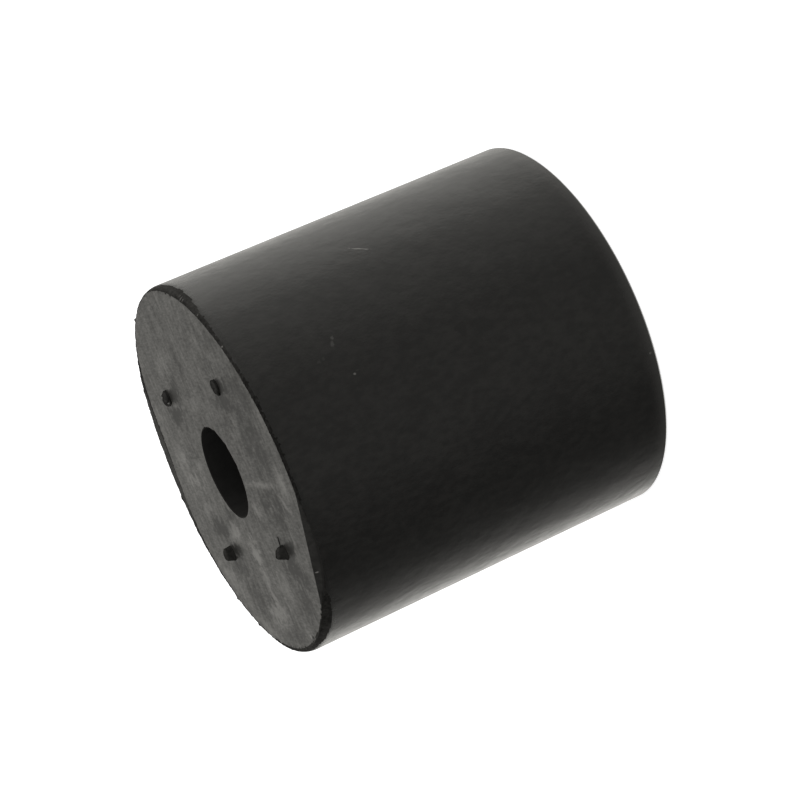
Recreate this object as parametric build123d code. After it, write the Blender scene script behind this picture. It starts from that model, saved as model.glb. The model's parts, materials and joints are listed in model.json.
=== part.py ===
from build123d import *
from dataclasses import dataclass
import math
import os

# Stabilizer bar bushing: one solid rubber moulding, a straight cylinder with a plain through bore.
# The plain end lies on Z = 0. The gate end, with its torn gate stubs and trimmed rim, faces +Z.

# Barrel
outer_diameter = 65.0
body_length = 65.3

# Bore, a clearance for an M16 rod
bore_diameter = 16.0
bore_edge_break = 0.25

# Edge of the plain end, as crisp as the mould leaves it
plain_edge_break = 0.3

# Edge of the gate end, rolled over all round: it leaves the barrel smoothly and meets the face
# at a corner, further down the barrel than across the face
rim_roll_across = 0.55
rim_roll_down = 1.5

# Gates: the moulding was fed through four runners on one pitch circle
gate_circle_diameter = 40.7
gate_flare = 0.2
gate_root_sink = 0.4
pit_share = 0.65


@dataclass(frozen=True)
class GateStub:
    """What is left of one gate after the runner was torn off the warm rubber."""

    bearing: float          # place on the pitch circle, degrees from +X
    root_diameter: float    # across the stub just above its flare
    height: float           # from the end face to the highest point of the tear
    tip_diameter: float     # across the stub where it tore
    lean: float             # how far the tip was pulled off the root
    lean_bearing: float     # the way it was pulled, degrees from +X
    tear_angle: float       # slope of the torn top, degrees
    tear_bearing: float     # the way the torn top falls, degrees from +X
    pit_depth: float        # hollow left in the torn top


gate_stubs = [
    GateStub(bearing=45.0, root_diameter=2.3, height=0.65, tip_diameter=2.0, lean=0.05, lean_bearing=100.0,
             tear_angle=6.0, tear_bearing=300.0, pit_depth=0.12),
    GateStub(bearing=135.0, root_diameter=2.1, height=0.95, tip_diameter=1.8, lean=0.10, lean_bearing=200.0,
             tear_angle=12.0, tear_bearing=60.0, pit_depth=0.25),
    GateStub(bearing=225.0, root_diameter=2.6, height=1.60, tip_diameter=2.0, lean=0.15, lean_bearing=90.0,
             tear_angle=10.0, tear_bearing=110.0, pit_depth=0.10),
    GateStub(bearing=316.0, root_diameter=2.5, height=1.65, tip_diameter=1.4, lean=0.30, lean_bearing=105.0,
             tear_angle=25.0, tear_bearing=75.0, pit_depth=0.08),
]


@dataclass(frozen=True)
class RimShave:
    """One straight stroke of the trimming knife across the rim of the gate end."""

    bearing: float          # middle of the stroke, degrees from +X
    width: float            # from the barrel inwards to the chord that it leaves on the face
    drop: float             # from the end face down to where it leaves the barrel


rim_shaves = [
    RimShave(bearing=173.0, width=4.1, drop=0.28),
    RimShave(bearing=332.5, width=2.3, drop=1.0),
]

# Sizes worked out from the ones above
outer_radius = outer_diameter / 2
bore_radius = bore_diameter / 2
gate_circle_radius = gate_circle_diameter / 2


def along(bearing: float) -> Vector:
    """Unit vector square to the bore, at a bearing in degrees from +X."""
    return Vector(math.cos(math.radians(bearing)), math.sin(math.radians(bearing)), 0)


def barrel() -> Part:
    """Cylinder and bore in one turn of the half section, with every edge as the mould leaves it."""
    rim_start = body_length - rim_roll_down
    face_edge = outer_radius - rim_roll_across
    bore_mouth = bore_radius + bore_edge_break
    with BuildPart() as turned:
        with BuildSketch(Plane.XZ):
            with BuildLine():
                Polyline((bore_radius, body_length - bore_edge_break),
                         (bore_radius, bore_edge_break),
                         (bore_mouth, 0),
                         (outer_radius - plain_edge_break, 0),
                         (outer_radius, plain_edge_break),
                         (outer_radius, rim_start))
                TangentArc((outer_radius, rim_start), (face_edge, body_length), tangent=(0, 1))
                Polyline((face_edge, body_length),
                         (bore_mouth, body_length),
                         (bore_radius, body_length - bore_edge_break))
            make_face()
        revolve(axis=Axis.Z)
    return turned.part


def shaving(stroke: RimShave) -> Part:
    """Waste above one knife stroke, whose flat runs down and out from a chord of the end face."""
    slope = math.atan2(stroke.drop, stroke.width)
    outwards = along(stroke.bearing)
    downhill = outwards * math.cos(slope) - Vector(0, 0, 1) * math.sin(slope)
    square_to_cut = outwards * math.sin(slope) + Vector(0, 0, 1) * math.cos(slope)
    chord = outwards * (outer_radius - stroke.width) + Vector(0, 0, body_length)
    blade = Plane(origin=chord, x_dir=downhill, z_dir=square_to_cut)
    return blade * Box(outer_radius, outer_diameter, outer_radius,
                       align=(Align.MIN, Align.CENTER, Align.MIN))


def torn_stub(stub: GateStub) -> Part:
    """A short leaning stub, flared into the end face and torn off on a slope with a small pit."""
    root = along(stub.bearing) * gate_circle_radius + Vector(0, 0, body_length)
    root_radius = stub.root_diameter / 2
    tip_radius = stub.tip_diameter / 2
    tip_centre = root + along(stub.lean_bearing) * stub.lean + Vector(0, 0, stub.height)
    outline = [
        (root - Vector(0, 0, gate_root_sink), root_radius + gate_flare),
        (root, root_radius + gate_flare),
        (root + Vector(0, 0, gate_flare), root_radius),
        (tip_centre, tip_radius),
    ]
    stem = loft([Plane(centre) * Circle(radius) for centre, radius in outline], ruled=True)

    tilt = math.radians(stub.tear_angle)
    downhill = along(stub.tear_bearing)
    tear = Plane(origin=tip_centre - downhill * tip_radius,
                 x_dir=downhill * math.cos(tilt) - Vector(0, 0, 1) * math.sin(tilt),
                 z_dir=downhill * math.sin(tilt) + Vector(0, 0, 1) * math.cos(tilt))
    runner = tear * Cylinder(stub.root_diameter, stub.height,
                             align=(Align.CENTER, Align.CENTER, Align.MIN))
    pit = tear * Location((tip_radius, 0, 0)) * Cone(0, pit_share * tip_radius, stub.pit_depth,
                                                     align=(Align.CENTER, Align.CENTER, Align.MAX))
    return stem - runner - pit


bushing = barrel()
for stroke in rim_shaves:
    bushing -= shaving(stroke)
for stub in gate_stubs:
    bushing += torn_stub(stub)
bushing.label = "bushing"

os.makedirs("parts", exist_ok=True)
export_step(bushing, "parts/bushing.step")
print(f"bushing: {bushing.volume / 1000:.1f} cm3, highest point {bushing.bounding_box().max.Z:.2f} mm")
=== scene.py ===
"""Looks of a stabilizer bar bushing: one rubber moulding, standing on its plain end.

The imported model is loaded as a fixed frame. The bushing is then modelled again as one finer mesh,
dressed in its rubber finishes, and set on a pale floor under soft studio light. Lengths are metres,
apart from those that are said to be millimetres.
"""

import json
import logging
import math
from contextlib import contextmanager
from dataclasses import dataclass
from enum import Enum
from functools import reduce
from typing import Callable, Iterator

import bmesh
import bpy
from mathutils import Matrix, Vector, noise


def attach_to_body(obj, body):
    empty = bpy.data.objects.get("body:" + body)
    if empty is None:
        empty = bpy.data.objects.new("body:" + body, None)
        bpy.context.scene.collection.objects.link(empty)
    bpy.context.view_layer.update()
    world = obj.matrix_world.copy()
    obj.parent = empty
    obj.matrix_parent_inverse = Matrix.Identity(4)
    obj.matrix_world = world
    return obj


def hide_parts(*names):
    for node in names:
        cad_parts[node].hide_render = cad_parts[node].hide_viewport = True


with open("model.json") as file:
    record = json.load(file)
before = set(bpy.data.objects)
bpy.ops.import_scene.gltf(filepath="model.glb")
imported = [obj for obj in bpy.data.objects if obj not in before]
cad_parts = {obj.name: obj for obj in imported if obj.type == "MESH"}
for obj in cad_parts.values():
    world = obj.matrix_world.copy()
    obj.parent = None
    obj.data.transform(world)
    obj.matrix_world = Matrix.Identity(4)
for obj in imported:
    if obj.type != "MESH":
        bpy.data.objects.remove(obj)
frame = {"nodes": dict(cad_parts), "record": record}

LOG = logging.getLogger("bushing")
Piece = bpy.types.Object
Socket = bpy.types.NodeSocket
MM = 0.001
WELD = 0.001 * MM
FULL_TURN = 2 * math.pi
NOISE_LOW, NOISE_HIGH = 0.3, 0.7


class Slot(Enum):
    """Material slots of the bushing's mesh, in their order on it."""

    WALL = 0
    GATE_FACE = 1
    RIM = 2
    TRIMMED = 3
    BORE = 4
    PLAIN_END = 5
    TORN = 6


@dataclass(frozen=True)
class FrameSizes:
    """The bushing's main sizes, as the frame holds them.

    Args:
        radius: radius of the outer wall.
        length: from the plain end to the gate face.
        bore_radius: radius of the bore.
    """

    radius: float
    length: float
    bore_radius: float

    @classmethod
    def read(cls, record: dict) -> "FrameSizes":
        """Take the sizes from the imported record's mounts.

        Args:
            record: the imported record.

        Returns:
            The sizes, in metres.
        """
        mounts = {mount["name"]: mount for mount in record["mounts"]}
        return cls(
            radius=mounts["outer_wall"]["dims"]["r_mm"] * MM,
            length=mounts["bore"]["pos_m"][2] * 2,
            bore_radius=mounts["bore"]["dims"]["r_mm"] * MM,
        )


def mm(*lengths: float) -> tuple[float, ...]:
    """Turn millimetres into metres."""
    return tuple(length * MM for length in lengths)


def polar(bearing: float, radius: float, height: float = 0.0) -> Vector:
    """Turn a bearing round the bore, in degrees from +X, into a point."""
    angle = math.radians(bearing)
    return Vector((radius * math.cos(angle), radius * math.sin(angle), height))


def spread(start: tuple[float, float], end: tuple[float, float], steps: int) -> list[tuple[float, float]]:
    """Divide a straight stretch of the section evenly, and list the divisions without the start."""
    return [(start[0] + (end[0] - start[0]) * step / steps,
             start[1] + (end[1] - start[1]) * step / steps) for step in range(1, steps + 1)]


def swell(spot: Vector, swells: tuple[tuple[float, float, int], ...]) -> float:
    """Add up swells at the bearing of a spot.

    Args:
        spot: the spot.
        swells: bearing, reach in millimetres and sharpness of each swell.

    Returns:
        How far they reach there.
    """
    way = spot.xy.normalized()
    return sum(reach * MM * max(0.0, way.dot(polar(bearing, 1.0).xy)) ** sharpness
               for bearing, reach, sharpness in swells)


def pick_none() -> None:
    """Leave no object selected."""
    bpy.ops.object.select_all(action="DESELECT")


def pick_only(piece: Piece) -> None:
    """Select one piece, and nothing else, and make it the active one.

    Args:
        piece: the object to select.
    """
    pick_none()
    piece.select_set(True)
    bpy.context.view_layer.objects.active = piece


@contextmanager
def editing(piece: Piece) -> Iterator[None]:
    """Keep one piece, and nothing else, in edit mode for the length of a block.

    Args:
        piece: the mesh object to work on.
    """
    pick_only(piece)
    bpy.ops.object.mode_set(mode="EDIT")
    yield
    bpy.ops.object.mode_set(mode="OBJECT")


def pick_all() -> None:
    """Select the whole mesh in edit mode."""
    bpy.ops.mesh.select_all(action="SELECT")


def pick_points(piece: Piece, wanted: Callable[[Vector], bool]) -> None:
    """Select vertices by their place, in edit mode.

    Args:
        piece: the mesh object in edit mode.
        wanted: says of a place whether its vertex is wanted.
    """
    bpy.ops.mesh.select_mode(type="VERT")
    bpy.ops.mesh.select_all(action="DESELECT")
    shape = bmesh.from_edit_mesh(piece.data)
    for vertex in shape.verts:
        vertex.select_set(wanted(vertex.co))
    shape.select_flush(True)
    bmesh.update_edit_mesh(piece.data)


def pick_faces(piece: Piece, wanted: Callable[[Vector, Vector], bool]) -> None:
    """Select faces by their middle and their normal, in edit mode.

    Args:
        piece: the mesh object in edit mode.
        wanted: says of a middle and a normal whether the face is wanted.
    """
    bpy.ops.mesh.select_mode(type="FACE")
    bpy.ops.mesh.select_all(action="DESELECT")
    shape = bmesh.from_edit_mesh(piece.data)
    chosen = [face for face in shape.faces if wanted(face.calc_center_median(), face.normal)]
    for face in chosen:
        face.select_set(True)
    bmesh.update_edit_mesh(piece.data)


def extrude_by(step: Vector) -> None:
    """Extrude what is selected in edit mode and move the new end by a step."""
    bpy.ops.mesh.extrude_region_move(TRANSFORM_OT_translate={"value": step})


def close_up() -> None:
    """Merge the doubled vertices of the mesh in edit mode, and point its faces outwards."""
    pick_all()
    bpy.ops.mesh.remove_doubles(threshold=WELD)
    bpy.ops.mesh.normals_make_consistent(inside=False)


def finish_modifier(piece: Piece, modifier: bpy.types.Modifier) -> None:
    """Apply one modifier to the piece that carries it."""
    pick_only(piece)
    bpy.ops.object.modifier_apply(modifier=modifier.name)


def attach(body: Piece, addition: Piece) -> None:
    """Make a closed piece, which stands sunk in the body, part of the body's own mesh.

    Args:
        body: the mesh that grows.
        addition: the closed mesh that becomes part of it.
    """
    pick_only(body)
    addition.select_set(True)
    bpy.ops.object.join()


def roughen(piece: Piece, group: str, grain: float, height: float) -> None:
    """Raise and sink part of a piece in soft, cloudy relief.

    Args:
        piece: the mesh object.
        group: vertex group that the relief is kept to.
        grain: size of one swell.
        height: from the lowest hollow to the highest swell.
    """
    clouds = bpy.data.textures.new(f"{group}_relief", "CLOUDS")
    clouds.noise_scale = grain
    clouds.noise_depth = 3
    relief = piece.modifiers.new("relief", "DISPLACE")
    relief.texture = clouds
    relief.texture_coords = "LOCAL"
    relief.vertex_group = group
    relief.mid_level = 0.5
    relief.strength = height
    finish_modifier(piece, relief)


class NodeBench:
    """Lays out the nodes of one material, with its Principled shader at the end."""

    def __init__(self, name: str) -> None:
        """Start a material.

        Args:
            name: the material's name.
        """
        self.material = bpy.data.materials.new(name)
        self.material.use_nodes = True
        self.tree = self.material.node_tree
        self.tree.nodes.clear()
        self.shader = self.node("BsdfPrincipled")
        self.node("OutputMaterial", {"Surface": self.shader.outputs["BSDF"]})
        self.place = self.node("TexCoord").outputs["Object"]

    @classmethod
    def of_world(cls, world: bpy.types.World) -> "NodeBench":
        """Work on a world's own nodes.

        Args:
            world: the world.

        Returns:
            A bench whose shader is the world's background.
        """
        bench = cls.__new__(cls)
        bench.tree = world.node_tree
        bench.shader = bench.tree.nodes["Background"]
        bench.place = bench.node("TexCoord").outputs["Generated"]
        return bench

    def feed(self, socket: Socket, value: object) -> None:
        """Link an output to a socket, or write a plain value on it.

        Args:
            socket: the input to set.
            value: an output socket, a number or a tuple.
        """
        if isinstance(value, Socket):
            self.tree.links.new(value, socket)
        else:
            socket.default_value = value

    def node(self, kind: str, inputs: dict | None = None, **settings: str) -> bpy.types.Node:
        """Add one node.

        Args:
            kind: Blender's name of it, without the start that all of them share.
            inputs: output or plain value of each input, by the input's name or place.
            settings: the node's own settings, by name.

        Returns:
            The node.
        """
        node = self.tree.nodes.new(f"ShaderNode{kind}")
        for name, value in settings.items():
            setattr(node, name, value)
        for name, value in (inputs or {}).items():
            self.feed(node.inputs[name], value)
        return node

    def math(self, operation: str, first: object, second: object) -> Socket:
        """Work out one sum of two numbers."""
        return self.node("Math", {0: first, 1: second}, operation=operation).outputs[0]

    def add(self, first: object, *others: object) -> Socket:
        """Add numbers up."""
        return reduce(lambda total, other: self.math("ADD", total, other), others, first)

    def vector_math(self, operation: str, first: object, second: object = (0, 0, 0),
                    result: str = "Vector") -> Socket:
        """Work out one sum of vectors, whose result is a Vector or a Value."""
        return self.node("VectorMath", {0: first, 1: second}, operation=operation).outputs[result]

    def length(self, vector: Socket) -> Socket:
        """Give a vector's length."""
        return self.vector_math("LENGTH", vector, result="Value")

    def flat(self) -> Socket:
        """Give the place or direction without its height."""
        return self.vector_math("MULTIPLY", self.place, (1, 1, 0))

    def height(self) -> Socket:
        """Give the height above the plain end."""
        return self.node("SeparateXYZ", {0: self.place}).outputs["Z"]

    def towards(self, bearing: float) -> Socket:
        """Measure how far the level direction agrees with a bearing, from 1 down to -1."""
        level = self.vector_math("NORMALIZE", self.flat())
        return self.vector_math("DOT_PRODUCT", level, polar(bearing, 1.0), "Value")

    def scale_to(self, value: Socket, low: float, high: float,
                 new_low: float = 0.0, new_high: float = 1.0) -> Socket:
        """Spread a value smoothly from one range over another, and hold it within that."""
        inputs = {"Value": value, "From Min": low, "From Max": high, "To Min": new_low, "To Max": new_high}
        return self.node("MapRange", inputs, interpolation_type="SMOOTHSTEP").outputs["Result"]

    def noise(self, grain: float, detail: float = 3.0, sharpness: float = 0.5,
              place: Socket | None = None) -> Socket:
        """Lay cloudy noise from 0 to 1, by a cloud's size, its finer layers and how strong they are."""
        return self.node("TexNoise", {"Scale": 1 / grain, "Detail": detail, "Roughness": sharpness,
                                      "Vector": place or self.place}).outputs["Fac"]

    def ragged(self, grain: float, reach: float, detail: float = 2.0, sharpness: float = 0.5) -> Socket:
        """Lay noise that strays by up to a reach either way."""
        return self.scale_to(self.noise(grain, detail, sharpness), NOISE_LOW, NOISE_HIGH, -reach, reach)

    def local(self, centre: Vector, turn: tuple[float, float, float],
              half_sizes: tuple[float, ...]) -> Socket:
        """Measure places from a centre, along axes turned by radians, in half sizes."""
        return self.node("Mapping", {"Vector": self.place, "Location": centre, "Rotation": turn,
                                     "Scale": half_sizes}, vector_type="TEXTURE").outputs["Vector"]

    def blend(self, share: object, first: object, second: object) -> Socket:
        """Mix two colours, by how much of the second shows."""
        return self.node("Mix", {0: share, 6: first, 7: second}, data_type="RGBA").outputs[2]

    def bump(self, height: Socket, depth: float, under: Socket | None) -> Socket:
        """Roughen the surface finely, over a coarser bump if there is one."""
        coarser = {"Normal": under} if under is not None else {}
        return self.node("Bump", {"Height": height, "Distance": depth, **coarser}).outputs["Normal"]


@dataclass(frozen=True)
class Mark:
    """A spot, patch or scratch on the rubber, as a soft ellipsoid that the surface cuts.

    Args:
        centre: its middle.
        turn: turn of its own axes, in radians.
        half_sizes: half sizes along those axes.
        strength: how far it raises the tone, or lowers it where it is below 0.
        soft: share of its radius that its edge fades over.
    """

    centre: Vector
    turn: tuple[float, float, float]
    half_sizes: tuple[float, ...]
    strength: float
    soft: float

    @classmethod
    def on_wall(cls, sizes: FrameSizes, bearing: float, height: float, along: float, across: float,
                strength: float, tilt: float = 0.0) -> "Mark":
        """Place a mark on the outer wall, with lengths in millimetres, and tilted by degrees on it."""
        turn, depth = (math.radians(tilt), 0.0, math.radians(bearing)), 1.0
        return cls(polar(bearing, sizes.radius, height * MM), turn, mm(depth, across / 2, along / 2),
                   strength, soft=0.6)

    @classmethod
    def on_face(cls, sizes: FrameSizes, x: float, y: float, long: float, wide: float, bearing: float,
                strength: float) -> "Mark":
        """Place a mark on the gate face, with lengths in millimetres, and its long side along a bearing."""
        turn, depth = (0.0, 0.0, math.radians(bearing)), 4.0
        return cls(Vector((x * MM, y * MM, sizes.length)), turn, mm(long / 2, wide / 2, depth),
                   strength, soft=1.0)

    def mask(self, bench: NodeBench, ragged: Socket) -> Socket:
        """Lay by how much it changes the tone, with an edge that ragged noise breaks up."""
        reach = bench.length(bench.local(self.centre, self.turn, self.half_sizes))
        return bench.scale_to(bench.add(reach, ragged), 1.0, 1.0 - self.soft, 0.0, self.strength)


@dataclass(frozen=True)
class Grain:
    """One layer of cloudy unevenness, in the rubber's tone or in its relief.

    Args:
        size: size of one cloud, in millimetres.
        amount: how far it sways the tone, or how deep it is as relief, in millimetres.
        detail: how many finer layers it has.
        stretch: how many times longer it is along X, Y and the bore.
        sharpness: how strong its finer layers are.
    """

    size: float
    amount: float
    detail: float = 3.0
    stretch: tuple[float, float, float] = (1.0, 1.0, 1.0)
    sharpness: float = 0.55

    def lay(self, bench: NodeBench) -> Socket:
        """Lay the clouds, from 0 to 1."""
        stretched = bench.local(Vector(), (0.0, 0.0, 0.0), self.stretch)
        return bench.noise(self.size * MM, self.detail, self.sharpness, stretched)

    def sway(self, bench: NodeBench, tone: object) -> Socket:
        """Raise and lower a tone by the clouds."""
        swing = bench.math("MULTIPLY", bench.math("SUBTRACT", self.lay(bench), 0.5), self.amount)
        return bench.add(tone, swing)


Grains = tuple[Grain, ...]


@dataclass(frozen=True, kw_only=True)
class Rubber:
    """One finish of the rubber. Its tone runs from 0, dark, to 1, pale.

    Args:
        sizes: the bushing's main sizes.
        dark: colour at tone 0.
        pale: colour at tone 1.
        level: its tone before clouds and marks.
        matt: roughness at tone 0.
        satin: roughness at tone 1.
        specular: how strong its sheen is.
        clouds: unevenness of its tone.
        relief: unevenness of its surface, coarse to fine.
        scuffed: colour of the spots where its skin is scratched.
    """

    sizes: FrameSizes
    dark: tuple
    pale: tuple
    level: float
    matt: float
    satin: float
    specular: float
    clouds: Grains
    relief: Grains
    scuffed: tuple = (0.30, 0.29, 0.27, 1)

    def marks(self) -> list[Mark]:
        """List the marks on it."""
        return []

    def scuffs(self) -> list[Mark]:
        """List the spots where its skin is scratched pale."""
        return []

    def tone(self, bench: NodeBench) -> Socket:
        """Lay the tone with its clouds and marks.

        Args:
            bench: the material it is laid in.

        Returns:
            The tone.
        """
        tone = self.level
        for cloud in self.clouds:
            tone = cloud.sway(bench, tone)
        ragged = bench.ragged(grain=1.2 * MM, reach=0.3)
        return bench.add(tone, *(mark.mask(bench, ragged) for mark in self.marks()))

    def color(self, bench: NodeBench, tone: Socket) -> Socket:
        """Turn the tone into a colour, and lay the scuffs over it.

        Args:
            bench: the material it is laid in.
            tone: the tone.

        Returns:
            The colour.
        """
        color = bench.blend(bench.scale_to(tone, low=-0.2, high=1.2), self.dark, self.pale)
        ragged = bench.ragged(grain=0.5 * MM, reach=0.3)
        for scuff in self.scuffs():
            color = bench.blend(scuff.mask(bench, ragged), color, self.scuffed)
        return color

    def roughness(self, bench: NodeBench, tone: Socket) -> Socket:
        """Turn the tone into a roughness."""
        return bench.scale_to(tone, 0.0, 1.0, self.matt, self.satin)

    def material(self, name: str) -> bpy.types.Material:
        """Mix the finish.

        Args:
            name: the material's name.

        Returns:
            The material.
        """
        bench = NodeBench(name)
        tone = self.tone(bench)
        bench.feed(bench.shader.inputs["Base Color"], self.color(bench, tone))
        bench.feed(bench.shader.inputs["Roughness"], self.roughness(bench, tone))
        bench.feed(bench.shader.inputs["Specular IOR Level"], self.specular)
        normal = None
        for grain in self.relief:
            normal = bench.bump(grain.lay(bench), grain.amount * MM, normal)
        bench.feed(bench.shader.inputs["Normal"], normal)
        return bench.material


@dataclass(frozen=True)
class RimWear:
    """How far down the rim has lost its skin, which swells at a few bearings.

    Args:
        least: its depth between the swells, in millimetres.
        swells: bearing, added depth in millimetres and sharpness of each swell.
    """

    least: float = 0.5
    swells: tuple = ((73.0, 1.2, 26), (-54.0, 1.2, 24), (180.0, 0.9, 2))

    def depth(self, spot: Vector) -> float:
        """Say how deep it is at the bearing of a spot."""
        return self.least * MM + swell(spot, self.swells)

    def lay(self, bench: NodeBench) -> Socket:
        """Lay its depth as nodes.

        Args:
            bench: the material it is laid in.

        Returns:
            The depth.
        """
        depth = self.least * MM
        for bearing, reach, sharpness in self.swells:
            near = bench.math("POWER", bench.math("MAXIMUM", bench.towards(bearing), 0.0), sharpness)
            depth = bench.add(bench.math("MULTIPLY", near, reach * MM), depth)
        return depth


@dataclass(frozen=True, kw_only=True)
class WallRubber(Rubber):
    """Satin rubber of the outer wall, as it came out of the mould, and frayed below the rim."""

    dark: tuple = (0.0030, 0.0028, 0.0025, 1)
    pale: tuple = (0.0105, 0.0100, 0.0090, 1)
    level: float = 0.45
    matt: float = 0.25
    satin: float = 0.19
    specular: float = 0.5
    clouds: Grains = (Grain(7, 1.2), Grain(1.1, 3.0, 3.0, (1.0, 1.0, 1.6)))
    relief: Grains = (Grain(10, 0.24, 2.0), Grain(1.4, 0.042, 2.0, (1.0, 1.0, 1.4)),
                      Grain(0.45, 0.032, 2.0))
    frayed: tuple = (0.003, 0.0028, 0.0025, 1)
    # painted reflection of the pale floor, laid as a paler colour along the wall's foot
    painted_floor_glint: tuple = (0.042, 0.041, 0.038, 1)
    painted_glint_height: float = 4.5 * MM
    fray_width: float = 0.8 * MM
    fray_matt: float = 0.15

    def marks(self) -> list[Mark]:
        """List the wall's faint stains."""
        spots = ((15.3, 29.7, 2.3, 2.3, -1.8), (50.5, 8.5, 12, 3.5, -0.25), (-12.0, 43.0, 9, 4.5, 0.3))
        return [Mark.on_wall(self.sizes, *spot) for spot in spots]

    def scuffs(self) -> list[Mark]:
        """List the spots where the skin is scratched pale."""
        spots = (
            (52.7, 36.1, 3.7, 0.40, 0.5, -40.0), (27.7, 49.4, 0.7, 1.1, 0.13),
            (25.9, 49.9, 1.7, 0.8, 0.11, 55.0), (22.7, 53.2, 0.9, 0.8, 0.04), (22.9, 52.3, 0.8, 0.7, 0.04),
            (15.6, 49.0, 0.5, 0.4, 0.35), (16.3, 48.4, 0.9, 0.5, 0.04), (-12.8, 1.0, 0.5, 0.5, 0.6),
        )
        return [Mark.on_wall(self.sizes, *spot) for spot in spots]

    def fray(self, bench: NodeBench) -> Socket:
        """Lay the frayed band below the worn rim.

        Args:
            bench: the material it is laid in.

        Returns:
            How frayed each place is, from 0 to 1.
        """
        ragged = bench.ragged(grain=0.8 * MM, reach=0.4 * MM, detail=4.0, sharpness=0.6)
        uneven = bench.add(bench.height(), RimWear().lay(bench), ragged)
        return bench.scale_to(uneven, self.sizes.length - self.fray_width, self.sizes.length)

    def color(self, bench: NodeBench, tone: Socket) -> Socket:
        """Turn the tone into a colour, with the frayed band and a painted reflection of the pale floor along
        the foot over it.

        Args:
            bench: the material it is laid in.
            tone: the tone.

        Returns:
            The colour.
        """
        # painted floor reflection: strongest at the plain end, gone by the glint height
        foot = bench.math("POWER", bench.scale_to(bench.height(), self.painted_glint_height, 0.0), 3.0)
        skin = bench.blend(self.fray(bench), super().color(bench, tone), self.frayed)
        return bench.blend(foot, skin, self.painted_floor_glint)

    def roughness(self, bench: NodeBench, tone: Socket) -> Socket:
        """Turn the tone into a roughness, more matt in the frayed band."""
        matt = bench.math("MULTIPLY", self.fray(bench), self.fray_matt)
        return bench.add(super().roughness(bench, tone), matt)


@dataclass(frozen=True, kw_only=True)
class GateFaceRubber(Rubber):
    """Greyer rubber of the gate face, with the stains and flow marks of the moulding, and painted shadows and
    reflections of the stubs.
    """

    dark: tuple = (0.0228, 0.0221, 0.0205, 1)
    pale: tuple = (0.152, 0.1478, 0.1375, 1)
    level: float = 0.33
    matt: float = 0.34
    satin: float = 0.28
    specular: float = 0.03
    clouds: Grains = (Grain(5, 0.6, 4.0), Grain(0.9, 0.7, 3.0, (1.0, 4.0, 1.0)),
                      Grain(0.35, 0.8, 2.0, (3.5, 1.0, 1.0)))
    relief: Grains = (Grain(1.2, 0.008), Grain(0.3, 0.002, 2.0))
    gain: float = 1.1

    def marks(self) -> list[Mark]:
        """List the face's stains and flow marks, the pale ones and then the dark ones, among which the
        painted stub shadows and reflections.

        Returns:
            The marks.
        """
        pale = [
            (27, -2.5, 10, 6, 90, 0.5), (17, -2.6, 18, 1.9, -3, 0.45), (24, -5.5, 9, 1.8, -50, 0.4),
            (8.8, -6.8, 5, 5, 60, 0.35), (-8, -10.5, 7, 5, 0, 0.55), (-1, -14.3, 8, 6.3, 90, 0.75),
            (-1.3, -20, 11, 4.5, 90, 0.35), (-2, -25.3, 14, 6.5, 0, 0.55), (6.5, -20.5, 10, 9, 0, 0.25),
            (-20, -20, 17, 8, -45, 0.35), (-11, -28, 15, 4.5, -25, 0.3), (-17, -1, 16, 4, 0, 0.35),
            (-20, 3.5, 14, 4, 8, 0.2), (-12, 1.5, 8, 3.5, 0, 0.2), (-17, -6, 10, 3, 0, 0.2),
            (-25, 12, 9, 6, 60, 0.1), (-22, 3, 18, 34, 0, 0.14), (-11, 20, 12, 6, 10, 0.2),
            (13, 22.5, 7, 6, 90, 0.2), (-2, 12, 7, 4, 0, 0.2), (29.5, 8, 5, 16, 5, 0.25),
            (10.1, -29.0, 1.2, 0.8, 0, 0.8),
        ]
        # Dark marks touching the four stubs are painted shade: the stubs' shadows and their dark reflections
        # in the face. The last one darkens the pit.
        dark = [
            (15.5, 11.5, 10, 5.5, 0, 0.5), (15, 18, 9, 4.5, 0, 0.2), (-14, 10.5, 13, 6, 0, 0.5),
            (-9, 15, 7, 6, 30, 0.5), (-15, -9.8, 12, 5.5, 0, 0.5), (-12, -17, 11, 4.5, -10, 0.3),
            (-10, -22.5, 14, 8, 20, 0.3), (15, -17.3, 10, 6, -20, 0.6), (19.5, -19.5, 9, 6, -15, 0.25),
            (14, -5.3, 11, 5.5, 0, 0.24), (21, -5.6, 6, 6, -40, 0.33), (19, -8.5, 16, 7, -15, 0.25),
            (22, 3, 14, 16, 0, 0.14), (22, 12, 16, 14, 0, 0.15), (12, 7.5, 9, 5, 0, 0.2),
            (23, 6, 34, 44, 0, 0.14), (-1, 20, 3, 9, 0, 0.25), (15, -24, 12, 8, 30, 0.25),
            (-6.5, -7.3, 4.5, 3.5, 0, 0.4), (4, -29.5, 14, 4, 0, 0.15), (16.8, 14.3, 6, 3.4, 0, 0.7),
            (-11.9, 14.2, 6.5, 3.2, 0, 0.8), (-11.4, -13.9, 7, 3.8, 0, 0.8), (17.6, -13.7, 7, 3.8, 0, 0.8),
            (14.1, -12.2, 3.4, 1.8, 90, 0.6), (14.8, -16.3, 5.5, 3, -10, 0.55),
            (14.8, 12.6, 4.5, 2.4, 0, 0.6), (11.3, -29.1, 1.8, 0.8, 0, 1.2),
        ]
        return [Mark.on_face(self.sizes, *place, sign * strength * self.gain)
                for sign, spots in ((1, pale), (-1, dark)) for *place, strength in spots]


@dataclass(frozen=True, kw_only=True)
class PlainEndRubber(Rubber):
    """The same grey rubber on the plain end, evenly clouded."""

    dark: tuple = (0.010, 0.0096, 0.0088, 1)
    pale: tuple = (0.075, 0.073, 0.068, 1)
    level: float = 0.4
    matt: float = 0.42
    satin: float = 0.34
    specular: float = 0.10
    clouds: Grains = (Grain(6, 0.6, 4.0), Grain(0.7, 0.4))
    relief: Grains = (Grain(1.2, 0.006), Grain(0.3, 0.002, 2.0))


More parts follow.
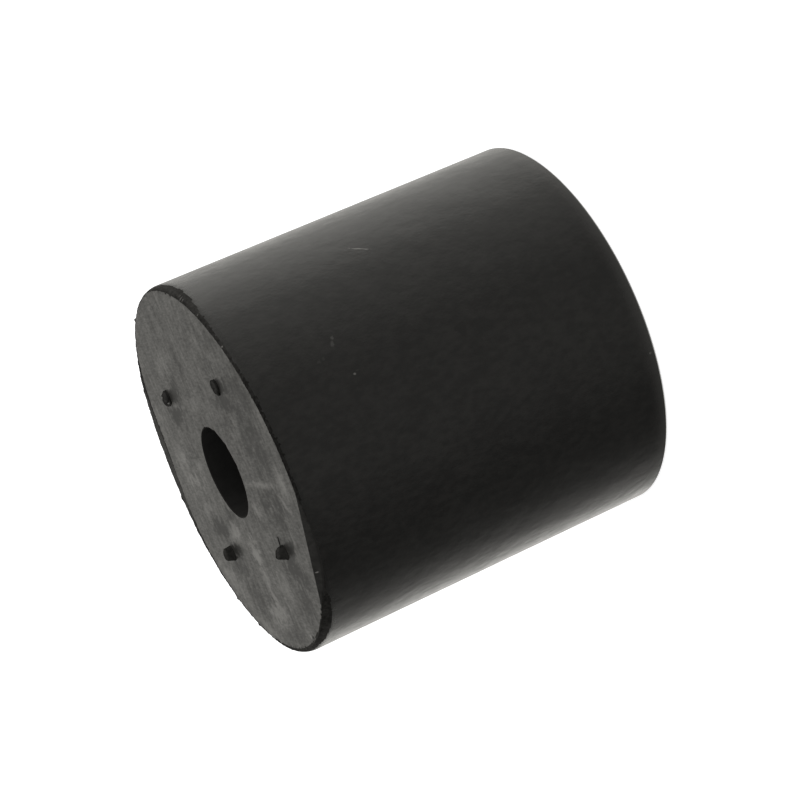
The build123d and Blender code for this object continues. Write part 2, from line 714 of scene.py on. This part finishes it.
@dataclass(frozen=True, kw_only=True)
class RimRubber(Rubber):
    """Dull, frayed rubber of the rolled rim, darkest at its corner."""

    dark: tuple = (0.008, 0.0077, 0.0070, 1)
    pale: tuple = (0.055, 0.0535, 0.0495, 1)
    level: float = 0.08
    matt: float = 0.7
    satin: float = 0.55
    specular: float = 0.02
    clouds: Grains = (Grain(3, 0.5), Grain(0.45, 1.1, 4.0))
    relief: Grains = (Grain(0.5, 0.015, 4.0),)
    painted_sheen_bearing: float = 65.0
    far_sheen_bearing: float = -76.0

    def scuffs(self) -> list[Mark]:
        """List the pale fibres that cross the rim and the specks on it, by how far down it they lie."""
        fibres = ((65.3, 0.45, 1.3, 0.2, 15.0), (66.8, 0.6, 1.0, 0.18, -20.0), (63.9, 0.3, 0.9, 0.18, 30.0),
                  (39.1, 0.2, 0.45, 0.4, 0.0), (54.0, 0.3, 0.5, 0.2, 25.0), (-36.0, 0.25, 0.5, 0.5, 0.0))
        top, strength = self.sizes.length / MM, 0.45
        return [Mark.on_wall(self.sizes, bearing, top - down, along, across, strength, tilt)
                for bearing, down, along, across, tilt in fibres]

    def tone(self, bench: NodeBench) -> Socket:
        """Lay the tone, darkest at the corner, with painted sheen at the two bearings where the wall beside
        it shines.

        Args:
            bench: the material it is laid in.

        Returns:
            The tone.
        """
        corner, foot = self.sizes.length - 0.05 * MM, self.sizes.length - 0.7 * MM
        down = bench.scale_to(bench.height(), corner, foot, new_low=0.5, new_high=1.0)
        # painted sheen: the rim is paled at the two bearings where the wall beside it shines, more so away
        # from the corner
        near_sheen = bench.scale_to(bench.towards(self.painted_sheen_bearing), 0.60, 0.95, new_low=0.06, new_high=0.45)
        far_sheen = bench.scale_to(bench.towards(self.far_sheen_bearing), 0.88, 1.0, new_low=0.0, new_high=0.3)
        painted_sheen = bench.math("MULTIPLY", down, bench.add(near_sheen, far_sheen))
        return bench.add(super().tone(bench), painted_sheen)


@dataclass(frozen=True, kw_only=True)
class TrimmedRubber(Rubber):
    """Fresh rubber of the knife flats, drawn along the knife's way and darker towards the wall."""

    dark: tuple = (0.007, 0.0067, 0.0061, 1)
    pale: tuple = (0.026, 0.0252, 0.0232, 1)
    level: float = 0.33
    matt: float = 0.65
    satin: float = 0.5
    specular: float = 0.06
    clouds: Grains = (Grain(0.8, 1.2, 3.0, (4.0, 1.0, 1.0)),)
    relief: Grains = (Grain(0.5, 0.008, 3.0, (4.0, 1.0, 1.0)),)

    def scuffs(self) -> list[Mark]:
        """List the one line that the knife's edge left."""
        return [Mark.on_face(self.sizes, 25.6, -17.6, 1.3, 0.3, 4.5, 0.5)]

    def tone(self, bench: NodeBench) -> Socket:
        """Lay the tone, darker at the outer end of the stroke.

        Args:
            bench: the material it is laid in.

        Returns:
            The tone.
        """
        start, end, darker = self.sizes.radius - 0.75 * MM, self.sizes.radius - 0.3 * MM, -0.45
        outer = bench.scale_to(bench.length(bench.flat()), start, end, 0.0, darker)
        return bench.add(super().tone(bench), outer)


@dataclass(frozen=True, kw_only=True)
class BoreRubber(Rubber):
    """Dull, dark rubber of the bore."""

    dark: tuple = (0.013, 0.0126, 0.0118, 1)
    pale: tuple = (0.036, 0.035, 0.0328, 1)
    level: float = 0.45
    matt: float = 0.6
    satin: float = 0.45
    specular: float = 0.07
    clouds: Grains = (Grain(2, 0.8),)
    relief: Grains = (Grain(0.5, 0.003),)


@dataclass(frozen=True, kw_only=True)
class TornRubber(Rubber):
    """Soft, open rubber of the torn stubs."""

    dark: tuple = (0.013, 0.0125, 0.0114, 1)
    pale: tuple = (0.052, 0.0508, 0.0472, 1)
    level: float = 0.38
    matt: float = 0.95
    satin: float = 0.85
    specular: float = 0.02
    clouds: Grains = (Grain(0.9, 1.0, 4.0),)
    relief: Grains = (Grain(0.35, 0.012, 4.0),)
    root_shade_height: float = 0.2 * MM
    painted_root_shade: float = -0.25

    def tone(self, bench: NodeBench) -> Socket:
        """Lay the tone, with painted shade at the foot, where the stub meets the gate face."""
        # painted shade: the stub darkens towards its root on the gate face
        start, end = self.sizes.length, self.sizes.length + self.root_shade_height
        return bench.add(super().tone(bench), bench.scale_to(bench.height(), start, end, self.painted_root_shade, 0.0))


@dataclass(frozen=True)
class StubSite:
    """Where one gate stub stands on the gate face of the frame.

    Args:
        root: middle of its root, level with the gate face.
        radius: its radius just above the flare.
        top: height of its highest point above the plain end.
    """

    root: Vector
    radius: float
    top: float

    @classmethod
    def find(cls, node: Piece, sizes: FrameSizes, bearing: float) -> "StubSite":
        """Find the stub that stands at a bearing.

        Args:
            node: the bushing of the frame.
            sizes: the bushing's main sizes.
            bearing: its rough bearing, in degrees from +X.

        Returns:
            The stub's site.
        """
        half_quarter = math.radians(45)
        hair = 0.01 * MM
        way = polar(bearing, 1.0)
        stub = [vertex.co for vertex in node.data.vertices
                if vertex.co.z > sizes.length + hair and way.xy.angle(vertex.co.xy) < half_quarter]
        lowest = min(point.z for point in stub)
        waist = [point for point in stub if point.z < lowest + hair]
        middle = sum(waist, Vector()) / len(waist)
        radius = max((point - middle).length for point in waist)
        return cls(Vector((middle.x, middle.y, sizes.length)), radius, max(point.z for point in stub))


@dataclass(frozen=True)
class TornSkin:
    """A thin strand of skin that a tear left standing.

    Args:
        route: its points from the stub's root, from end to end, in millimetres.
        radius: its radius where it is thickest.
        taper: its radius at each end, as a share of that.
    """

    route: tuple[tuple[float, float, float], ...]
    radius: float
    taper: float

    def build(self, root: Vector, finish: bpy.types.Material) -> Piece:
        """Model the strand as a closed mesh.

        Args:
            root: middle of the stub's root.
            finish: its material.

        Returns:
            The strand's object.
        """
        pick_none()
        bpy.ops.curve.primitive_nurbs_path_add(radius=self.radius)
        strand = bpy.context.active_object
        strand.data.splines.clear()
        spline = strand.data.splines.new("NURBS")
        last = len(self.route) - 1
        spline.points.add(last)
        for index, (point, offset) in enumerate(zip(spline.points, self.route)):
            point.co = (*(root + Vector(mm(*offset))), 1.0)
            point.radius = self.taper + (1 - self.taper) * math.sin(math.pi * index / last)
        spline.order_u = 3
        spline.use_endpoint_u = True
        spline.resolution_u = 6
        strand.data.bevel_depth = self.radius
        strand.data.bevel_resolution = 3
        strand.data.use_fill_caps = True
        bpy.ops.object.convert(target="MESH")
        strand = bpy.context.active_object
        unevenness = self.radius * 0.2
        with editing(strand):
            close_up()
            bpy.ops.transform.vertex_random(offset=unevenness, seed=1)
        strand.data.materials.clear()
        strand.data.materials.append(finish)
        return strand


@dataclass(frozen=True)
class TornStub:
    """One torn gate stub on the gate face.

    Args:
        bearing: its bearing, in degrees from +X.
        tip_radius: radius where it tore.
        lean: how far its tip was pulled off its root.
        lean_bearing: the way it was pulled, in degrees from +X.
        tear_angle: slope of the torn top, in degrees.
        tear_bearing: the way the torn top falls, in degrees from +X.
        rounding: how far its torn edge is rounded, as a share of its tip's radius.
        pit: depth of the hollow in its torn top.
        lumps: how uneven the torn rubber is.
        seed: seed of its raggedness.
        skins: strands of skin left standing on it.
        flare: how far its foot spreads into the gate face.
        sink: how far it starts below the gate face.
        sides: how many facets go round it.
    """

    bearing: float
    tip_radius: float
    lean: float
    lean_bearing: float
    tear_angle: float
    tear_bearing: float
    rounding: float
    pit: float
    lumps: float
    seed: int
    skins: tuple[TornSkin, ...] = ()
    flare: float = 0.08 * MM
    sink: float = 0.5 * MM
    sides: int = 32

    def tip(self, site: StubSite) -> Vector:
        """Give the middle of the torn tip."""
        return site.root + polar(self.lean_bearing, self.lean, site.top - site.root.z)

    def rings(self, site: StubSite) -> list[tuple[Vector, float]]:
        """List the rings of the stub, from its sunk foot to above its tear.

        Args:
            site: where the stub stands.

        Returns:
            The middle and the radius of each ring.
        """
        foot = site.radius + self.flare
        up = Vector((0, 0, 1))
        rings = [(site.root - up * self.sink, foot), (site.root.copy(), foot)]
        flare_steps = 3
        for step in range(1, flare_steps + 1):
            angle = math.pi / 2 * step / flare_steps
            rings.append((site.root + up * self.flare * math.sin(angle),
                          foot - self.flare * (1 - math.cos(angle))))
        waist = rings[-1][0]
        tip = self.tip(site)
        over = 1.25
        stem_steps = 5
        for step in range(1, stem_steps + 1):
            share = over * step / stem_steps
            radius = site.radius + (self.tip_radius - site.radius) * min(share, 1.0)
            rings.append((waist.lerp(tip, share), radius))
        return rings

    def stem(self, site: StubSite) -> Piece:
        """Raise the stub ring by ring, and tear its top off along a slope.

        The cut leaves its points in another order each run, so they are sorted for the random draws.

        Args:
            site: where the stub stands.

        Returns:
            The stub's object.
        """
        rings = self.rings(site)
        middle, radius = rings[0]
        pick_none()
        bpy.ops.mesh.primitive_circle_add(vertices=self.sides, radius=radius, fill_type="NGON",
                                          location=middle)
        stub = bpy.context.active_object
        bpy.ops.object.transform_apply(location=True, rotation=True, scale=True)
        downhill = polar(self.tear_bearing, 1.0)
        tilt = math.radians(self.tear_angle)
        square_to_tear = downhill * math.sin(tilt) + Vector((0, 0, math.cos(tilt)))
        torn_radius = self.tip_radius * (1 - self.rounding)
        edge_width, pit_slope = torn_radius * 0.4, torn_radius * 0.2
        level_within, hair = 0.999, 0.02 * MM

        def torn_top(spot: Vector, normal: Vector) -> bool:
            """Say whether a face lies in the torn top."""
            return normal.dot(square_to_tear) > level_within and spot.z > site.root.z + self.flare / 2

        with editing(stub):
            bpy.ops.mesh.select_mode(type="FACE")
            pick_all()
            for next_middle, next_radius in rings[1:]:
                share = next_radius / radius
                extrude_by(next_middle - middle)
                bpy.ops.transform.resize(value=(share, share, 1.0), center_override=next_middle)
                middle, radius = next_middle, next_radius
            pick_all()
            bpy.ops.mesh.normals_make_consistent(inside=False)
            bpy.ops.mesh.bisect(plane_co=self.tip(site) - downhill * self.tip_radius, plane_no=square_to_tear,
                                use_fill=True, clear_outer=True, threshold=hair)
            pick_faces(stub, torn_top)
            bpy.ops.mesh.bevel(offset=self.tip_radius * self.rounding, segments=3, affect="EDGES")
            pick_faces(stub, torn_top)
            bpy.ops.mesh.inset(thickness=edge_width)
            bpy.ops.mesh.inset(thickness=pit_slope, depth=-self.pit)
            bpy.ops.mesh.poke()
            pick_all()
            bpy.ops.mesh.sort_elements(type="CURSOR_DISTANCE", elements={"VERT", "EDGE", "FACE"})
        return stub

    def build(self, site: StubSite, finish: bpy.types.Material) -> Piece:
        """Model the stub as a closed, ragged mesh.

        Args:
            site: where the stub stands.
            finish: its material.

        Returns:
            The stub's object.
        """
        stub = self.stem(site)
        unevenness = self.lumps * 0.12
        smooth = stub.modifiers.new("smooth", "SUBSURF")
        smooth.levels = smooth.render_levels = 2
        finish_modifier(stub, smooth)
        with editing(stub):
            pick_points(stub, lambda spot: spot.z > site.root.z + self.flare)
            stub.vertex_groups.new(name="torn")
            bpy.ops.object.vertex_group_assign()
            bpy.ops.transform.vertex_random(offset=unevenness, uniform=1.0, seed=self.seed)
        roughen(stub, "torn", grain=0.45 * MM, height=self.lumps)
        with editing(stub):
            pick_all()
            top = max(vertex.co.z for vertex in bmesh.from_edit_mesh(stub.data).verts)
            bpy.ops.transform.translate(value=(0, 0, site.top - top))
        stub.data.materials.append(finish)
        return stub


@dataclass(frozen=True)
class KnifeFlat:
    """A flat that one stroke of the trimming knife left on the rim.

    Args:
        bearing: middle of the stroke, in degrees from +X.
        width: from the wall inwards to its chord on the gate face.
        drop: from the gate face down to where it leaves the wall.
    """

    bearing: float
    width: float
    drop: float

    def cut(self, body: Piece, sizes: FrameSizes) -> None:
        """Cut the flat, and give it the finish of trimmed rubber.

        Args:
            body: the moulding's object.
            sizes: the bushing's main sizes.
        """
        outwards = polar(self.bearing, 1.0)
        slope = math.atan2(self.drop, self.width)
        square_to_cut = outwards * math.sin(slope) + Vector((0, 0, math.cos(slope)))
        downhill = outwards * math.cos(slope) - Vector((0, 0, math.sin(slope)))
        across = square_to_cut.cross(downhill)
        chord = outwards * (sizes.radius - self.width) + Vector((0, 0, sizes.length))
        hair, level_within = 0.002 * MM, 0.9999
        with editing(body):
            pick_all()
            bpy.ops.mesh.bisect(plane_co=chord, plane_no=square_to_cut, threshold=hair)
            pick_points(body, lambda spot: (spot - chord).dot(square_to_cut) > -hair)
            bpy.ops.transform.resize(value=(1, 1, 0), center_override=chord,
                                     orient_matrix=Matrix((downhill, across, square_to_cut)).transposed())
            pick_faces(body, lambda spot, normal: abs((spot - chord).dot(square_to_cut)) < hair
                       and normal.dot(square_to_cut) > level_within)
            body.active_material_index = Slot.TRIMMED.value
            bpy.ops.object.material_slot_assign()
            pick_all()
            bpy.ops.mesh.remove_doubles(threshold=hair)


@dataclass(frozen=True)
class Tug:
    """A small spot where the rubber was pulled up into a burr or pressed into a nick.

    Args:
        spot: the point that moves furthest.
        move: how far it moves, and which way.
        reach: how far round it the rubber follows.
    """

    spot: Vector
    move: Vector
    reach: float

    def pull(self, body: Piece) -> None:
        """Pull the surface at the spot.

        Args:
            body: the moulding's object, in edit mode.
        """
        shape = bmesh.from_edit_mesh(body.data)
        nearest = min(shape.verts, key=lambda vertex: (vertex.co - self.spot).length_squared).co.copy()
        pick_points(body, lambda spot: (spot - nearest).length < WELD)
        bpy.ops.transform.translate(value=self.move, use_proportional_edit=True,
                                    proportional_edit_falloff="SMOOTH", proportional_size=self.reach)


@dataclass
class Bushing:
    """The bushing's one moulding, from its turned section to its dressed mesh.

    Args:
        sizes: the bushing's main sizes.
        node: the bushing of the frame.
        turns: how many facets go round it.
        bore_edge: chamfer at each end of the bore.
        plain_edge: chamfer round the plain end.
        roll_across: width of the rolled rim on the gate face.
        roll_down: depth of the rolled rim on the wall.
        corner_width: width of the finely divided rings inside the rim.
        lip_width: width of the finely divided rings round the bore.
        fray_down: depth of the finely divided rings below the rolled rim.
        strip: bearing, width in millimetres and sharpness of each swell of the dark strip inside the rim.
    """

    sizes: FrameSizes
    node: Piece
    turns: int = 600
    bore_edge: float = 0.12 * MM
    plain_edge: float = 0.3 * MM
    roll_across: float = 0.55 * MM
    roll_down: float = 1.5 * MM
    corner_width: float = 4.2 * MM
    lip_width: float = 2.0 * MM
    fray_down: float = 1.5 * MM
    strip: tuple = ((170.0, 3.9, 10), (207.0, 0.45, 12), (272.0, 0.6, 6))

    def flats(self) -> list[KnifeFlat]:
        """List the knife's strokes across the rim."""
        return [KnifeFlat(173.0, 4.1 * MM, 0.28 * MM), KnifeFlat(332.5, 2.3 * MM, 1.0 * MM)]

    def stubs(self) -> list[TornStub]:
        """List the torn gate stubs.

        Returns:
            The stubs, in the order of their bearings.
        """
        loop = TornSkin(((-1.0, -0.3, 0.7), (-1.1, -0.9, 0.65), (-0.8, -1.35, 0.5), (-0.2, -1.55, 0.4),
                         (0.4, -1.5, 0.25), (0.8, -1.1, 0.15), (0.8, -0.7, 0.15)), 0.20 * MM, 0.85)
        tail = TornSkin(((0.5, -0.6, 0.3), (0.4, -0.9, 0.28), (0.2, -1.15, 0.2), (0.0, -1.35, 0.1),
                         (-0.1, -1.45, 0.03)), 0.28 * MM, 0.6)
        hair = TornSkin(((0.4, 0.7, 0.8), (0.55, 1.2, 0.5), (0.2, 1.8, 0.3), (-0.1, 2.3, 0.15),
                         (-0.37, 2.7, 0.05)), 0.10 * MM, 0.5)
        return [
            TornStub(45.0, 1.3 * MM, 0.25 * MM, 185.0, 3.0, 300.0, 0.45, 0.03 * MM, 0.07 * MM, 3, (tail,)),
            TornStub(135.0, 1.05 * MM, 0.10 * MM, 200.0, 10.0, 60.0, 0.45, 0.08 * MM, 0.08 * MM, 4, (loop,)),
            TornStub(225.0, 1.0 * MM, 0.20 * MM, 90.0, 8.0, 110.0, 0.45, 0.06 * MM, 0.12 * MM, 8),
            TornStub(316.0, 0.75 * MM, 0.25 * MM, 120.0, 22.0, 75.0, 0.4, 0.05 * MM, 0.12 * MM, 11, (hair,)),
        ]

    def tugs(self) -> list[Tug]:
        """List the burrs on the rim, the nicks in the bore's mouth and the pit in the gate face.

        Returns:
            The tugs.
        """
        top = self.sizes.length
        rim = self.sizes.radius - self.roll_across
        mouth = self.sizes.bore_radius + self.bore_edge
        burrs = [Tug(polar(bearing, rim, top), polar(bearing, out * MM, 0.12 * MM), reach=0.7 * MM)
                 for bearing, out in ((118.3, 0.3), (-173.1, 0.25), (-134.5, 0.28), (150.0, 0.12),
                                      (-120.0, 0.1))]
        nicks = [Tug(polar(bearing, mouth, top), polar(bearing, out * MM, -0.06 * MM), reach=0.8 * MM)
                 for bearing, out in ((96.0, 0.10), (62.0, 0.08), (35.0, 0.12), (8.0, 0.06))]
        pit = Tug(Vector((11.33 * MM, -29.04 * MM, top)), Vector((0, 0, -0.12 * MM)), reach=0.5 * MM)
        return [*burrs, *nicks, pit]

    def section(self) -> list[tuple[float, float]]:
        """Walk round the half section, from the bore's mouth on the plain end and back to it.

        Returns:
            Radius and height of each corner. The last is the first again.
        """
        radius, length, bore = self.sizes.radius, self.sizes.length, self.sizes.bore_radius
        mouth = bore + self.bore_edge
        wall_top = length - self.roll_down
        face_edge = radius - self.roll_across
        stretches = [
            ((radius - self.plain_edge, 0.0), 8), ((radius, self.plain_edge), 2),
            ((radius, wall_top - self.fray_down), 19), ((radius, wall_top), 8),
            *((corner, 1) for corner in self.roll()),
            ((face_edge - self.corner_width, length), 16), ((mouth + self.lip_width, length), 15),
            ((mouth, length), 6), ((bore, length - self.bore_edge), 2), ((bore, self.bore_edge), 12),
            ((mouth, 0.0), 2),
        ]
        points = [(mouth, 0.0)]
        for end, steps in stretches:
            points += spread(points[-1], end, steps)
        return points

    def roll(self, steps: int = 8) -> list[tuple[float, float]]:
        """Follow the rolled rim from the wall to its corner with the gate face.

        Args:
            steps: how many chords the arc is drawn with.

        Returns:
            Radius and height of each corner after the first.
        """
        across, down = self.roll_across, self.roll_down
        arc_radius = (across ** 2 + down ** 2) / (2 * across)
        sweep = math.asin(down / arc_radius)
        start_height = self.sizes.length - down
        hub = self.sizes.radius - arc_radius
        return [(hub + arc_radius * math.cos(sweep * step / steps),
                 start_height + arc_radius * math.sin(sweep * step / steps)) for step in range(1, steps + 1)]

    def turn(self) -> Piece:
        """Draw the half section by extruding a point, and turn it about the bore.

        Returns:
            The closed mesh's object.
        """
        (radius, height), *rest = self.section()
        pick_none()
        bpy.ops.mesh.primitive_plane_add(size=1 * MM, location=(0, 0, 0))
        body = bpy.context.active_object
        body.name = "bushing_moulding"
        with editing(body):
            pick_all()
            bpy.ops.mesh.merge(type="CENTER")
            bpy.ops.transform.translate(value=(radius, 0, height))
            for next_radius, next_height in rest:
                extrude_by(Vector((next_radius - radius, 0, next_height - height)))
                radius, height = next_radius, next_height
            pick_all()
            bpy.ops.mesh.spin(steps=self.turns, angle=FULL_TURN, center=(0, 0, 0), axis=(0, 0, 1))
            close_up()
        return body

    def weather(self, body: Piece) -> None:
        """Roughen the rim's corner, and give the gate face its faint swells.

        Args:
            body: the moulding's object.
        """
        length = self.sizes.length
        face_edge = self.sizes.radius - self.roll_across
        mouth = self.sizes.bore_radius + self.bore_edge
        hair = 0.01 * MM
        regions = {
            "rim": lambda spot: spot.z > length - 0.5 * MM and spot.xy.length > face_edge - 0.25 * MM,
            "gate_face": lambda spot: (spot.z > length - hair
                                       and mouth + 0.3 * MM < spot.xy.length < face_edge - 0.3 * MM),
        }
        with editing(body):
            for name, region in regions.items():
                pick_points(body, region)
                body.vertex_groups.new(name=name)
                body.vertex_groups.active = body.vertex_groups[name]
                bpy.ops.object.vertex_group_assign()
        roughen(body, "gate_face", grain=3.5 * MM, height=0.07 * MM)
        roughen(body, "rim", grain=0.7 * MM, height=0.16 * MM)
        with editing(body):
            pick_points(body, regions["rim"])
            bpy.ops.transform.vertex_random(offset=0.035 * MM, uniform=1.0, seed=4)

    def dress(self, body: Piece) -> None:
        """Give each region of the mesh its finish.

        Args:
            body: the moulding's object.
        """
        finishes = {
            Slot.WALL: WallRubber, Slot.GATE_FACE: GateFaceRubber, Slot.RIM: RimRubber,
            Slot.TRIMMED: TrimmedRubber, Slot.BORE: BoreRubber, Slot.PLAIN_END: PlainEndRubber,
            Slot.TORN: TornRubber,
        }
        for slot in Slot:
            name = f"{slot.name.lower()}_rubber"
            body.data.materials.append(finishes[slot](sizes=self.sizes).material(name))
        length, bore = self.sizes.length, self.sizes.bore_radius
        face_edge = self.sizes.radius - self.roll_across
        hair, level_within = 0.05 * MM, 0.9
        wear = RimWear()

        def ragged(spot: Vector, grain: float, reach: float) -> float:
            """Say how far the finishes' border strays at a spot, by a grain and a reach in millimetres."""
            return noise.noise(spot / (grain * MM)) * reach * MM

        def edge_line(middle: Vector, normal: Vector) -> bool:
            """Say whether a face lies in the dark strip inside the rim."""
            inner = face_edge - swell(middle, self.strip) + ragged(middle, 0.6, 0.3)
            return middle.z > length - hair and normal.z > level_within and middle.xy.length > inner

        def frayed(middle: Vector) -> bool:
            """Say whether a face of the rolled rim or the wall below it has lost its skin."""
            lowest = length - wear.depth(middle) + ragged(middle, 0.35, 0.15) + ragged(middle, 2.5, 0.25)
            return lowest < middle.z < length - WELD and middle.xy.length > face_edge - hair

        def mouth_edge(middle: Vector) -> bool:
            """Say whether a face lies in the chamfer of the bore's mouth on the gate face."""
            inside = middle.xy.length < bore + self.bore_edge
            return inside and length - self.bore_edge < middle.z < length - WELD

        regions = {
            Slot.GATE_FACE: lambda middle, normal: middle.z > length - hair and normal.z > level_within,
            Slot.BORE: lambda middle, normal: middle.xy.length < bore + self.bore_edge * 0.9,
            Slot.RIM: lambda middle, normal: (edge_line(middle, normal) or frayed(middle)
                                              or mouth_edge(middle)),
            Slot.PLAIN_END: lambda middle, normal: middle.z < hair and normal.z < -level_within,
        }
        with editing(body):
            for slot, region in regions.items():
                pick_faces(body, region)
                body.active_material_index = slot.value
                bpy.ops.object.material_slot_assign()

    def build(self) -> Piece:
        """Model and dress the whole moulding.

        Returns:
            The finished object.
        """
        body = self.turn()
        self.dress(body)
        for flat in self.flats():
            flat.cut(body, self.sizes)
        self.weather(body)
        with editing(body):
            for tug in self.tugs():
                tug.pull(body)
        torn = body.data.materials[Slot.TORN.value]
        for stub in self.stubs():
            site = StubSite.find(self.node, self.sizes, stub.bearing)
            attach(body, stub.build(site, torn))
            for skin in stub.skins:
                attach(body, skin.build(site.root, torn))
            LOG.info("stub at %.0f degrees: %.2f mm high", stub.bearing, (site.top - self.sizes.length) / MM)
        pick_only(body)
        sharpest_smooth = math.radians(28)
        bpy.ops.object.shade_smooth_by_angle(angle=sharpest_smooth)
        return body


@dataclass(frozen=True)
class PhotoCamera:
    """The camera, where the photograph's own stood.

    Args:
        aim: the point at the middle of the picture.
        bearing: the camera's bearing round the bushing, in degrees from +X.
        elevation: its height above the horizon, in degrees.
        distance: from the aim to the camera.
        roll: turn about the line of sight, in degrees.
        lens: focal length in millimetres.
    """

    aim: Vector
    bearing: float = 5.40
    elevation: float = 20.10
    distance: float = 426.61 * MM
    roll: float = -113.90
    lens: float = 114.18

    def build(self) -> Piece:
        """Place the camera and make it the scene's own.

        Returns:
            The camera's object.
        """
        level = math.radians(self.elevation)
        back = polar(self.bearing, math.cos(level), math.sin(level))
        upright = (-back).to_track_quat("-Z", "Y").to_matrix().to_4x4()
        pick_none()
        bpy.ops.object.camera_add()
        camera = bpy.context.active_object
        camera.matrix_world = (Matrix.Translation(self.aim + back * self.distance) @ upright
                               @ Matrix.Rotation(math.radians(self.roll), 4, "Z"))
        camera.data.lens = self.lens
        camera.data.clip_start = 0.01
        camera.data.clip_end = 20.0
        bpy.context.scene.camera = camera
        return camera


@dataclass(frozen=True)
class Studio:
    """Pale floor, one soft lamp, and a surround of one bright wall with a dim room in front of it.

    Args:
        sizes: the bushing's main sizes.
        floor_size: side of the floor.
        floor_fill: light that the floor adds of its own where the camera sees it.
        floor_tone: how pale the floor is.
        surround: strength of the surround for what it lights softly.
        bright_bearing: bearing of the middle of the bright wall.
        bright: strength of the bright wall in reflections.
        windows: bearing, edge and strength of each brighter stretch of that wall.
        dim: strength of the dim side in reflections.
        glow_bearing: bearing of a faint glow on the dim side.
        glow: strength of that glow.
        warm: tint of the bright wall and the dim room in reflections.
        lamp_bearing: bearing of the lamp.
        lamp_elevation: its height above the horizon, in degrees.
        lamp_distance: from the bushing's middle to the lamp.
        lamp_side: side of the square it shines from.
        lamp_watts: its power.
    """

    sizes: FrameSizes
    floor_size: float = 12.0
    floor_fill: float = 0.75
    floor_tone: float = 0.82
    surround: float = 0.55
    bright_bearing: float = 152.0
    bright: float = 0.82
    windows: tuple = ((208.0, 0.93, 0.3), (115.0, 0.90, 0.22))
    dim: float = 0.17
    glow_bearing: float = 20.0
    glow: float = 0.22
    warm: tuple = (1.0, 0.985, 0.935, 1)
    lamp_bearing: float = 120.0
    lamp_elevation: float = 60.0
    lamp_distance: float = 0.7
    lamp_side: float = 0.6
    lamp_watts: float = 2.5

    def world(self) -> None:
        """Make the surround: white where it is seen, and a bright wall where it is reflected."""
        world = bpy.data.worlds.new("surround")
        world.use_nodes = True
        bpy.context.scene.world = world
        bench = NodeBench.of_world(world)
        path = bench.node("LightPath").outputs
        wall = bench.scale_to(bench.towards(self.bright_bearing), -0.6, 0.8, self.dim, self.bright)
        for bearing, edge, strength in self.windows:
            wall = bench.add(wall, bench.scale_to(bench.towards(bearing), edge, 0.99, 0.0, strength))
        glow = bench.scale_to(bench.towards(self.glow_bearing), 0.0, 1.0, 0.0, self.glow)
        reflected = bench.math("MULTIPLY", bench.add(wall, glow), path["Is Glossy Ray"])
        soft = bench.math("MULTIPLY", path["Is Diffuse Ray"], self.surround)
        seen = bench.math("MAXIMUM", path["Is Camera Ray"], path["Is Transmission Ray"])
        strength = bench.math("MAXIMUM", seen, bench.add(reflected, soft))
        bench.feed(bench.shader.inputs["Color"], bench.blend(path["Is Glossy Ray"], (1, 1, 1, 1), self.warm))
        bench.feed(bench.shader.inputs["Strength"], strength)

    def floor(self) -> Piece:
        """Lay the floor, level with the bushing's plain end.

        Returns:
            The floor's object.
        """
        pick_none()
        bpy.ops.mesh.primitive_plane_add(size=self.floor_size, location=(0, 0, 0))
        floor = bpy.context.active_object
        floor.name = "floor"
        bench = NodeBench("pale_floor")
        unevenness = 0.01
        tone = bench.add(bench.ragged(grain=0.4, reach=unevenness), self.floor_tone)
        grey = bench.node("CombineColor", {channel: tone for channel in ("Red", "Green", "Blue")})
        fill = bench.math("MULTIPLY", bench.node("LightPath").outputs["Is Camera Ray"], self.floor_fill)
        for name, value in (("Base Color", grey.outputs["Color"]), ("Roughness", 0.9),
                            ("Specular IOR Level", 0.0), ("Emission Color", (1, 1, 1, 1)),
                            ("Emission Strength", fill)):
            bench.feed(bench.shader.inputs[name], value)
        floor.data.materials.append(bench.material)
        floor.visible_glossy = False
        return floor

    def softbox(self) -> Piece:
        """Hang the soft lamp that shines on the bushing.

        Returns:
            The lamp's object.
        """
        level = math.radians(self.lamp_elevation)
        towards = polar(self.lamp_bearing, math.cos(level), math.sin(level))
        middle = Vector((0, 0, self.sizes.length / 2))
        pick_none()
        bpy.ops.object.light_add(type="AREA", location=middle + towards * self.lamp_distance)
        lamp = bpy.context.active_object
        lamp.name = "back_softbox"
        lamp.rotation_euler = towards.to_track_quat("Z", "Y").to_euler()
        lamp.data.shape = "SQUARE"
        lamp.data.size = self.lamp_side
        lamp.data.energy = self.lamp_watts
        lamp.visible_camera = False
        return lamp


def main() -> None:
    """Build, dress, light and frame the bushing."""
    logging.basicConfig(level=logging.INFO, format="%(name)s: %(message)s")
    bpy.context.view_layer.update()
    sizes = FrameSizes.read(frame["record"])

    moulding = Bushing(sizes, frame["nodes"]["bushing"]).build()
    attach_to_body(moulding, "root")
    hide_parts("bushing")
    LOG.info("moulding: %d faces", len(moulding.data.polygons))

    studio = Studio(sizes)
    studio.world()
    studio.floor()
    studio.softbox()
    PhotoCamera(aim=Vector((0.055 * MM, -0.751 * MM, 32.21 * MM))).build()
    bpy.context.scene.view_settings.view_transform = "Standard"
    LOG.info("studio: floor, surround, softbox and camera")


if __name__ == "__main__":
    main()
